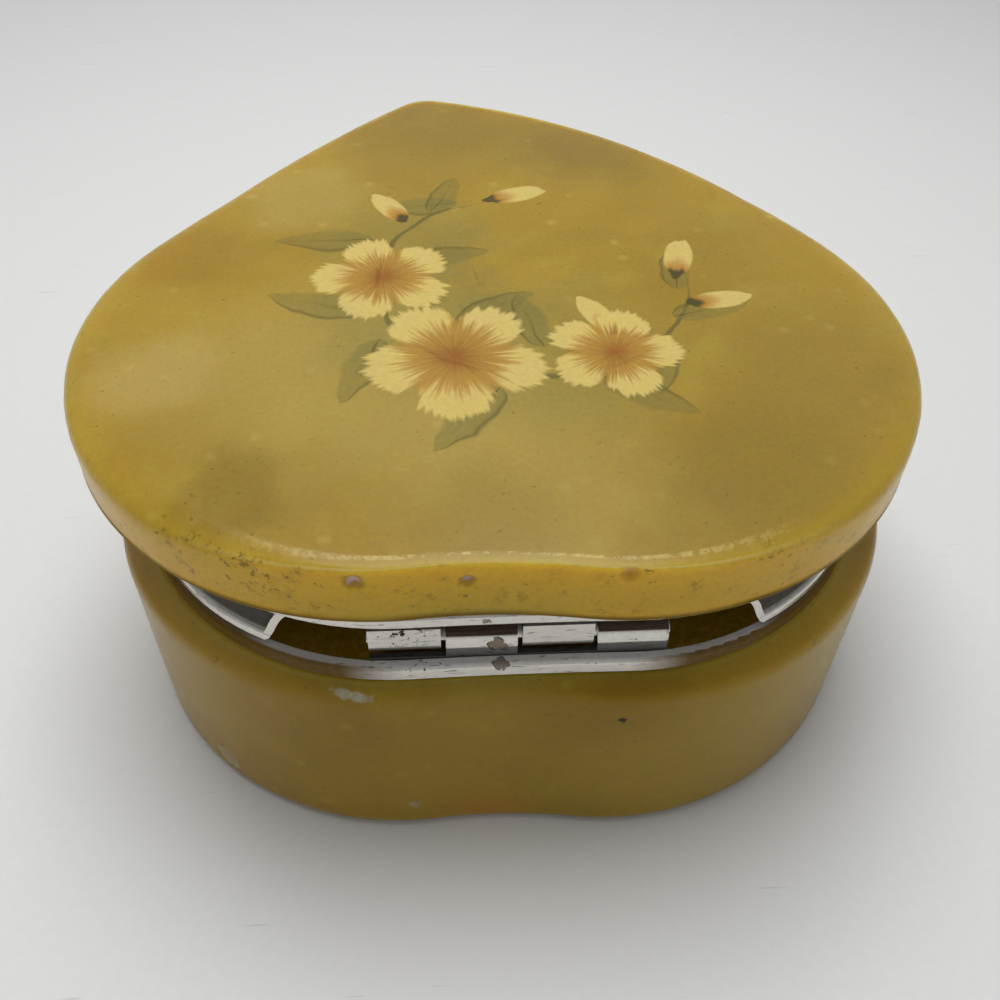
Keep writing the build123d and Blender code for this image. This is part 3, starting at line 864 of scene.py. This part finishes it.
    # Painted light: the inside emits a faint glow, weaker towards -Y and cut to a tenth by painted shade
    # under the hinge
    depth = add(tree, RAMP, {
        "Value": parts["Y"], "From Min": 18 * MM, "From Max": 34 * MM,
        "To Min": 0.1 * settings.seep, "To Max": settings.seep})[0]
    hinge_shade = add(tree, MATH, (parts["X"],), operation="ABSOLUTE")[0]
    hinge_shade = add(tree, RAMP, {"Value": hinge_shade, "From Min": 19 * MM, "From Max": 22 * MM, "To Min": 0.1})[0]
    rough = add(tree, RAMP, {
        "Value": grain, "From Min": 0.3, "From Max": 0.7, "To Min": 0.6, "To Max": 1.2})[0]
    seep = inside
    for share in (depth, hinge_shade, rough):
        seep = add(tree, MATH, (seep, share), operation="MULTIPLY")[0]
    shader = add(tree, SHADER, {
        "Base Color": tint, "Roughness": gloss[0], "IOR": 1.52, "Normal": bump[0],
        "Specular IOR Level": 0.13, "Emission Color": tint, "Emission Strength": seep,
        "Subsurface Weight": scatter, "Subsurface Radius": (1.0, 0.6, 0.15),
        "Subsurface Scale": SCATTER_DEPTH,
    })
    add(tree, SURFACE, {"Surface": shader[0]})
    return material


# Worn metal, in millimetres: a zone is a box that fades over its soft border; a coloured zone is painted
# shade or a painted reflection

Zone = namedtuple("Zone", "middle half soft share colour", defaults=("",))
PLATE_LOSS, LOSS_RIM = "#8f8375", "#3a3026"
METAL_MARKS = (
    Mark((2.6, 54.7, 40.8), 1.3, LOSS_RIM, 1.0), Mark((2.6, 54.7, 40.8), 1.1, PLATE_LOSS, 1.0),
    Mark((2.2, 56.1, 38.6), 1.15, LOSS_RIM, 1.0), Mark((2.2, 56.1, 38.6), 0.98, PLATE_LOSS, 1.0),
    Mark((4.1, 57.1, 48.4), 0.7, "#7d7264", 0.9))
METAL_MARK_CORE = 0.85
GRIME, WORN_AREA, STROKE = 0.8, 7, 2.5
LOSS_RAGGEDNESS = Vector((3, 3, 3)) * MM
GRIMY = (
    Spot((14.5, 54.7, 43.0), 5.0, 0.19), Spot((13.0, 56.0, 38.5), 3.5, 0.17),
    Spot((0.8, 56.0, 38.5), 2.0, 0.12), Spot((-14.2, 54.6, 41.0), 3.0, 0.1))
# Colours of painted shade and reflection: brown and dark slots, a golden-brown painted reflection of the
# stone, and a dark painted shade for crevices
BROWN_SLOT, DARK_SLOT, STONE_REFLECTION, CREVICE_SHADE = "#452c14", "#1f120a", "#6e5423", "#2c2015"
# Painted shade: near-black under the hinge, brown in the slot over the knuckles, dark in the slot under the
# lid's flange
UNDER_HINGE = Zone((-0.3, 49.5, 35.0), (19.5, 5.1, 5.2), (0.3, 0.3, 0.3), 0.97, "#160c06")
HINGE_ZONES = (
    UNDER_HINGE,
    Zone((-0.3, 51.9, 43.6), (19.5, 2.3, 1.5), (0.3, 0.12, 0.12), 0.97, BROWN_SLOT),
    Zone((-0.3, 55.0, 45.6), (19.5, 1.0, 1.15), (0.3, 0.3, 0.12), 0.95, DARK_SLOT))
# On the rims: painted shade under the hinge, a painted golden-brown reflection of the stone on the base
# rim's outer face at the sides, and painted shade in the crevices at the bead's foot and under the flange
RIM_ZONES = (
    UNDER_HINGE,
    Zone((50.0, 50.0, 37.0), (28.0, 40.0, 1.55), (8.0, 8.0, 0.2), 1.0, STONE_REFLECTION),
    Zone((-50.0, 50.0, 37.0), (28.0, 40.0, 1.55), (8.0, 8.0, 0.2), 1.0, STONE_REFLECTION),
    Zone((63.0, 50.0, 37.0), (28.0, 40.0, 1.85), (4.0, 8.0, 0.2), 0.9, STONE_REFLECTION),
    Zone((-63.0, 50.0, 37.0), (28.0, 40.0, 1.85), (4.0, 8.0, 0.2), 0.9, STONE_REFLECTION),
    Zone((0, 0, 39.25), (80, 80, 0.3), (1, 1, 0.2), 0.9, CREVICE_SHADE),
    Zone((0, 0, 47.3), (80, 80, 0.15), (1, 1, 0.25), 0.85, CREVICE_SHADE))
# Painted dark reflection over the lid's skirt, between its bead and its flange
SKIRT_ZONES = (Zone((0, 0, 44.0), (80, 80, 2.0), (1, 1, 2.0), 0.92, "#2a2014"),)
FLAT_FACES = (
    Zone((4.4, 54.4, 40.7), (4.3, 1.3, 1.6), (0.3, 0.3, 0.3), 0.97),
    Zone((-14.1, 54.4, 40.7), (4.3, 1.3, 1.6), (0.3, 0.3, 0.3), 0.97))
FLAT_FACING = (0.0, 1.0, 0.12)
HANDLED_MIDDLE, HANDLED_REACH, HANDLED_CORE = Vector((2, 54, 42)) * MM, 32 * MM, 16 * MM


def within(tree, place, zone):
    """The share of a zone that a place has: all of it in the box, fading over its soft border."""
    value = place
    for operation, other in (
        ("SUBTRACT", Vector(zone.middle) * MM), ("ABSOLUTE", None), ("SUBTRACT", Vector(zone.half) * MM),
        ("MAXIMUM", (0, 0, 0)), ("DIVIDE", Vector(zone.soft) * MM),
    ):
        inputs = (value,) if other is None else (value, other)
        value = add(tree, VECTOR, inputs, operation=operation)[0]
    beyond = add(tree, VECTOR, (value,), operation="LENGTH")["Value"]
    return add(tree, RAMP, {"Value": beyond, "From Min": 1.0, "From Max": 0.0, "To Max": zone.share})[0]


def worn_nickel(settings, name, zones):
    """Nickel plate on rolled brass: bright, scratched and flecked at the hinge, with painted shade and
    painted reflections in its zones.
    """
    material, tree = new_material(name)
    place = add(tree, COORDINATES)["Object"]
    handled = near(tree, place, HANDLED_MIDDLE, HANDLED_REACH, HANDLED_CORE, 1.0)
    facing = add(tree, "ShaderNodeNewGeometry")["Normal"]
    upward = add(tree, PARTS, {"Vector": facing})["Z"]
    upward = add(tree, RAMP, {"Value": upward, "From Min": 0.45, "From Max": 0.8})[0]

    grime = add(tree, NOISE, {"Vector": place, "Scale": 1 / (GRIME * MM), "Detail": 4, "Roughness": 0.7})[0]
    where = add(tree, NOISE, {"Vector": place, "Scale": 1 / (WORN_AREA * MM), "Detail": 1})[0]
    fleck = add(tree, MATH, (where, 0.25, grime), operation="MULTIPLY_ADD")[0]
    fleck = soiled(tree, fleck, place, GRIMY)
    fleck = add(tree, RAMP, {"Value": fleck, "From Min": 0.82, "From Max": 0.86})[0]
    stroke = add(tree, VECTOR, (place, (1, 7, 7)), operation="MULTIPLY")[0]
    stroke = add(tree, NOISE, {"Vector": stroke, "Scale": 1 / (STROKE * MM), "Detail": 3})[0]
    scratch = add(tree, RAMP, {"Value": stroke, "From Min": 0.62, "From Max": 0.7, "To Max": 0.8})[0]
    scratch = add(tree, MATH, (scratch, handled), operation="MULTIPLY")[0]
    dark = add(tree, MATH, (fleck, scratch), operation="MAXIMUM")[0]
    mottle = add(tree, RAMP, {
        "Value": grime, "From Min": 0.3, "From Max": 0.7, "To Min": 0.9, "To Max": 1.05})[0]
    tint = add(tree, VECTOR, (settings.plating, mottle), operation="MULTIPLY")[0]

    streaky = add(tree, RAMP, {
        "Value": stroke, "From Min": 0.3, "From Max": 0.6, "To Min": 1.0, "To Max": 0.94})[0]
    # Each coloured zone is painted shade or a painted reflection: its colour, with a matt, less metallic
    # finish
    painted_shade_and_reflection = 0.0
    for zone in zones:
        factor = add(tree, MATH, (within(tree, place, zone), streaky), operation="MULTIPLY")[0]
        tint = add(tree, MIX, {
            "Factor": factor, "A": tint, "B": opaque(srgb(zone.colour))}, data_type="RGBA")["Result"]
        painted_shade_and_reflection = add(tree, MATH, (factor, painted_shade_and_reflection), operation="MAXIMUM")[0]
    ragged = add(tree, VECTOR, (grime, LOSS_RAGGEDNESS, place), operation="MULTIPLY_ADD")[0]
    lost = 0.0
    for mark in METAL_MARKS:
        radius = mark.radius * MM
        middle = Vector(mark.place) * MM + LOSS_RAGGEDNESS / 2
        factor = near(tree, ragged, middle, radius, radius * METAL_MARK_CORE, mark.share)
        tint = add(tree, MIX, {
            "Factor": factor, "A": tint, "B": opaque(srgb(mark.colour))}, data_type="RGBA")["Result"]
        lost = add(tree, MATH, (factor, lost), operation="MAXIMUM")[0]
    tint = add(tree, MIX, {
        "Factor": dark, "A": tint, "B": opaque(settings.tarnish)}, data_type="RGBA")["Result"]

    rough = add(tree, RAMP, {"Value": handled, "To Min": 0.13, "To Max": 0.24})[0]
    rough = add(tree, MATH, (upward, 0.25, rough), operation="MULTIPLY_ADD")[0]
    rough = add(tree, MATH, (lost, 0.25, rough), operation="MULTIPLY_ADD")[0]
    matt = add(tree, MATH, (painted_shade_and_reflection, 0.75), operation="MULTIPLY")[0]
    rough = add(tree, MATH, (rough, matt), operation="MAXIMUM")[0]
    gloss = add(tree, RAMP, {"Value": painted_shade_and_reflection, "From Max": 0.8, "To Min": 0.5, "To Max": 0.0})[0]
    shining = add(tree, RAMP, {"Value": upward, "To Min": 1.0, "To Max": 0.2})[0]
    free_of_zones = add(tree, MATH, (1.0, painted_shade_and_reflection), operation="SUBTRACT")[0]
    metallic = add(tree, MATH, (shining, free_of_zones), operation="MULTIPLY")[0]

    outward = add(tree, VECTOR, (place, (1, 1, 0)), operation="MULTIPLY")[0]
    outward = add(tree, VECTOR, (outward,), operation="NORMALIZE")[0]
    lean_out = add(tree, MATH, (upward, 1.2), operation="MULTIPLY")[0]
    outward = add(tree, VECTOR, {0: outward, "Scale": lean_out}, operation="SCALE")[0]
    eased = add(tree, VECTOR, (facing, outward), operation="ADD")[0]
    for face in FLAT_FACES:
        eased = add(tree, MIX, {
            "Factor": within(tree, place, face), "A": eased, "B": FLAT_FACING}, data_type="VECTOR",
        )["Result"]
    eased = add(tree, VECTOR, (eased,), operation="NORMALIZE")[0]
    relief = add(tree, MATH, (dark, -0.5, grime), operation="MULTIPLY_ADD")[0]
    relief_share = add(tree, RAMP, {"Value": painted_shade_and_reflection, "To Min": 0.25, "To Max": 0.05})[0]
    bump = add(tree, BUMP, {
        "Height": relief, "Strength": relief_share, "Distance": 0.08 * MM, "Normal": eased})
    shader = add(tree, SHADER, {
        "Base Color": tint, "Metallic": metallic, "Roughness": rough, "Normal": bump[0],
        "Specular IOR Level": gloss})
    add(tree, SURFACE, {"Surface": shader[0]})
    return material


def shade_skirt(mesh, finish):
    """The skirt's plain wall, deeper than its bead and its rolled lips, gets the finish with a painted dark
    reflection.
    """
    outline = placed_loop(MOUTH_OUTLINE, 900, "base_band")[0]
    bead_top, flange_foot, wall_inset = 41.05, 47.35, 0.8
    mesh.materials.append(finish)
    for face in mesh.polygons:
        x, y, z = face.center / MM
        inset = np.linalg.norm(outline - (x, y), axis=1).min()
        face.material_index = int(bead_top < z < flange_foot and inset > wall_inset)


# The plaster's and the table's patterns in millimetres; the scratches are as wide as they need to show

PLASTER_GRAIN, TABLE_GRAIN, TABLE_SCRATCH = 0.5, 1.5, 0.9


def plaster():
    """Bedding plaster, spread wet: matt and chalky."""
    material, tree = new_material("bedding_plaster")
    place = add(tree, COORDINATES)["Object"]
    grain = add(tree, NOISE, {"Vector": place, "Scale": 1 / (PLASTER_GRAIN * MM), "Detail": 3})[0]
    tint = add(tree, MIX, {
        "Factor": grain, "A": opaque(srgb("#b3a78c")), "B": opaque(srgb("#cfc6b0"))}, data_type="RGBA")
    shader = add(tree, SHADER, {"Base Color": tint["Result"], "Roughness": 0.9})
    add(tree, SURFACE, {"Surface": shader[0]})
    return material


def table_top(colour):
    """Laminate, pressed smooth: pale and nearly even, with a faint grain and fine scratches two ways."""
    material, tree = new_material("pale_table")
    place = add(tree, COORDINATES)["Object"]
    grain = add(tree, NOISE, {"Vector": place, "Scale": 1 / (TABLE_GRAIN * MM), "Detail": 3})[0]
    share = add(tree, RAMP, {"Value": grain, "To Min": 0.97, "To Max": 1.03})[0]
    tint = add(tree, VECTOR, (colour, share), operation="MULTIPLY")[0]
    for turn in (0.4, 1.3):
        drawn = add(tree, MAPPING, {"Vector": place, "Rotation": (0, 0, turn), "Scale": (0.06, 1, 1)})
        line = add(tree, NOISE, {"Vector": drawn[0], "Scale": 1 / (TABLE_SCRATCH * MM), "Detail": 1})[0]
        scratch = add(tree, RAMP, {"Value": line, "From Min": 0.775, "From Max": 0.82, "To Max": 0.3})[0]
        tint = add(tree, MIX, {
            "Factor": scratch, "A": tint, "B": opaque(srgb("#8c8c88"))}, data_type="RGBA")["Result"]
    shader = add(tree, SHADER, {"Base Color": tint, "Roughness": 0.6})
    add(tree, SURFACE, {"Surface": shader[0]})
    return material


# Operators

PAINTED_REACH, PAINTED_DEPTH = 45 * MM, 1 * MM
UNTINTED = (1.0, 1.0, 1.0)


class TRINKET_OT_stones(bpy.types.Operator):
    """Carve the two stones in place of their plain solids"""

    bl_idname = "trinket.stones"
    bl_label = "Carve the Stones"

    def execute(self, context):
        box = context.scene.trinket_box
        columns = box.columns * 100
        plain = alabaster(box.stone, "honey_alabaster", UNTINTED, LID_PATCHES, lid=True)
        painted = alabaster(
            box.stone, "painted_alabaster", UNTINTED, LID_PATCHES, lid=True, spray=box.spray)
        bowl = alabaster(box.stone, "brown_alabaster", tuple(box.stone.bowl_tint), BOWL_PATCHES)
        for node, body, rows, finishes in (
            ("alabaster_base", "base", base_rows(box.stone, columns), (bowl,)),
            ("alabaster_lid", "lid", lid_rows(box.stone, columns), (plain, painted)),
        ):
            made = piece(f"carved_{node}", rows_mesh(node, rows), body, *finishes)
            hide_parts(node)
        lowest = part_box("alabaster_lid")[1].z - PAINTED_DEPTH
        for face in made.data.polygons:
            reach = (face.center.xy - GARLAND_MIDDLE.xy * MM).length
            upwards = face.center.z > lowest and face.normal.z > 0.9
            face.material_index = int(upwards and reach < PAINTED_REACH)
        return {"FINISHED"}


class TRINKET_OT_metalwork(bpy.types.Operator):
    """Plate the rims and the hinge, and finish the pin and the plaster beds"""

    bl_idname = "trinket.metalwork"
    bl_label = "Plate the Metalwork"

    def execute(self, context):
        settings = context.scene.trinket_box.rim
        rim = worn_nickel(settings, "worn_and_shaded_nickel_rim", RIM_ZONES)
        hinge = worn_nickel(settings, "worn_and_shaded_nickel_hinge", HINGE_ZONES)
        skirt = worn_nickel(settings, "worn_and_shaded_nickel_skirt", SKIRT_ZONES)
        for node, plate in (
            ("base_band", rim), ("lid_band", rim), ("base_hinge_leaf", hinge), ("lid_hinge_leaf", hinge),
            ("hinge_pin", hinge),
        ):
            dress(node, plate)
        shade_skirt(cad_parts["lid_band"].data, skirt)
        bed = plaster()
        for node in ("base_bedding", "lid_bedding"):
            dress(node, bed)
        return {"FINISHED"}


# The stage, in metres: the sky's strength runs between two leans towards its bright side

TABLE_REACH, LAMP_WIDTH = 2.0, 0.3
LAMP_AIM = Vector((0, 0, 0.03))
SKY_COLOUR, BACKDROP = "#f4f6f8", 0.8
BRIGHT_SIDE, DIM_LEAN, BRIGHT_LEAN = Vector((0.0, -0.35, 0.94)), -0.3, 0.9
SENSOR_WIDTH, NEAREST = 36, 0.01


class TRINKET_OT_stage(bpy.types.Operator):
    """Lay the table, hang the lamps and place the camera"""

    bl_idname = "trinket.stage"
    bl_label = "Set the Stage"

    def execute(self, context):
        settings = context.scene.trinket_box.stage
        self.lay_table(settings)
        self.light(context.scene, settings)
        self.place_camera(context.scene, settings)
        context.scene.view_settings.view_transform = "Standard"
        return {"FINISHED"}

    def lay_table(self, settings):
        bm = bmesh.new()
        bmesh.ops.create_grid(bm, x_segments=1, y_segments=1, size=TABLE_REACH)
        mesh = bpy.data.meshes.new("table")
        bm.to_mesh(mesh)
        bm.free()
        mesh.materials.append(table_top(settings.floor_colour))
        table = bpy.data.objects.new("table", mesh)
        bpy.context.scene.collection.objects.link(table)

    def light(self, scene, settings):
        world = bpy.data.worlds.new("studio")
        world.use_nodes = True
        tree = world.node_tree
        tree.nodes.clear()
        facing = add(tree, COORDINATES)["Generated"]
        lean = add(tree, VECTOR, (facing, BRIGHT_SIDE), operation="DOT_PRODUCT")
        sky_share = add(tree, RAMP, {
            "Value": lean["Value"], "From Min": DIM_LEAN, "From Max": BRIGHT_LEAN,
            "To Min": settings.sky_front, "To Max": settings.sky})
        seen = add(tree, "ShaderNodeLightPath")["Is Camera Ray"]
        strength = add(tree, MIX, {"Factor": seen, "A": sky_share[0], "B": BACKDROP}, data_type="FLOAT")
        sky = add(tree, "ShaderNodeBackground", {
            "Color": opaque(srgb(SKY_COLOUR)), "Strength": strength["Result"]})
        add(tree, "ShaderNodeOutputWorld", {"Surface": sky[0]})
        scene.world = world
        lamp = bpy.data.lights.new("softbox", "AREA")
        lamp.shape = "RECTANGLE"
        lamp.size = lamp.size_y = LAMP_WIDTH
        lamp.energy = settings.lamp_power
        hung = bpy.data.objects.new("softbox", lamp)
        hung.location = settings.lamp_place
        hung.rotation_euler = (LAMP_AIM - hung.location).to_track_quat("-Z", "Y").to_euler()
        scene.collection.objects.link(hung)

    def place_camera(self, scene, settings):
        camera = bpy.data.cameras.new("camera")
        camera.sensor_width = SENSOR_WIDTH
        camera.lens = settings.lens
        camera.shift_x, camera.shift_y = settings.shift
        camera.clip_start = NEAREST
        azimuth, elevation, roll = settings.azimuth, settings.elevation, settings.roll
        back = Vector((
            math.sin(azimuth) * math.cos(elevation), math.cos(azimuth) * math.cos(elevation),
            math.sin(elevation)))
        right = (-back).cross(Vector((0, 0, 1))).normalized()
        up = right.cross(-back)
        right, up = (
            right * math.cos(roll) + up * math.sin(roll), up * math.cos(roll) - right * math.sin(roll))
        placed = bpy.data.objects.new("camera", camera)
        placed.matrix_world = Matrix.Translation(
            Vector(settings.target) + back * settings.distance
        ) @ Matrix((right, up, back)).transposed().to_4x4()
        scene.collection.objects.link(placed)
        scene.camera = placed


class TRINKET_PT_panel(bpy.types.Panel):
    """Buttons and settings of the trinket box"""

    bl_idname = "TRINKET_PT_panel"
    bl_label = "Trinket Box"
    bl_space_type = "VIEW_3D"
    bl_region_type = "UI"
    bl_category = "Trinket Box"

    def draw(self, context):
        box = context.scene.trinket_box
        for operator in OPERATORS:
            self.layout.operator(operator.bl_idname)
        for group in (box.stone, box.rim, box.spray, box.stage):
            column = self.layout.box().column()
            for name in group.bl_rna.properties.keys():
                if name not in ("rna_type", "name"):
                    column.prop(group, name)


OPERATORS = (TRINKET_OT_stones, TRINKET_OT_metalwork, TRINKET_OT_stage)
CLASSES = (
    StoneSettings, RimSettings, SpraySettings, StageSettings, TrinketBoxSettings,
    *OPERATORS, TRINKET_PT_panel)


def register():
    for cls in CLASSES:
        bpy.utils.register_class(cls)
    bpy.types.Scene.trinket_box = PointerProperty(name="Trinket box", type=TrinketBoxSettings)


def unregister():
    del bpy.types.Scene.trinket_box
    for cls in reversed(CLASSES):
        bpy.utils.unregister_class(cls)


def main():
    register()
    bpy.ops.trinket.stones()
    bpy.ops.trinket.metalwork()
    bpy.ops.trinket.stage()


if __name__ == "__main__":
    main()
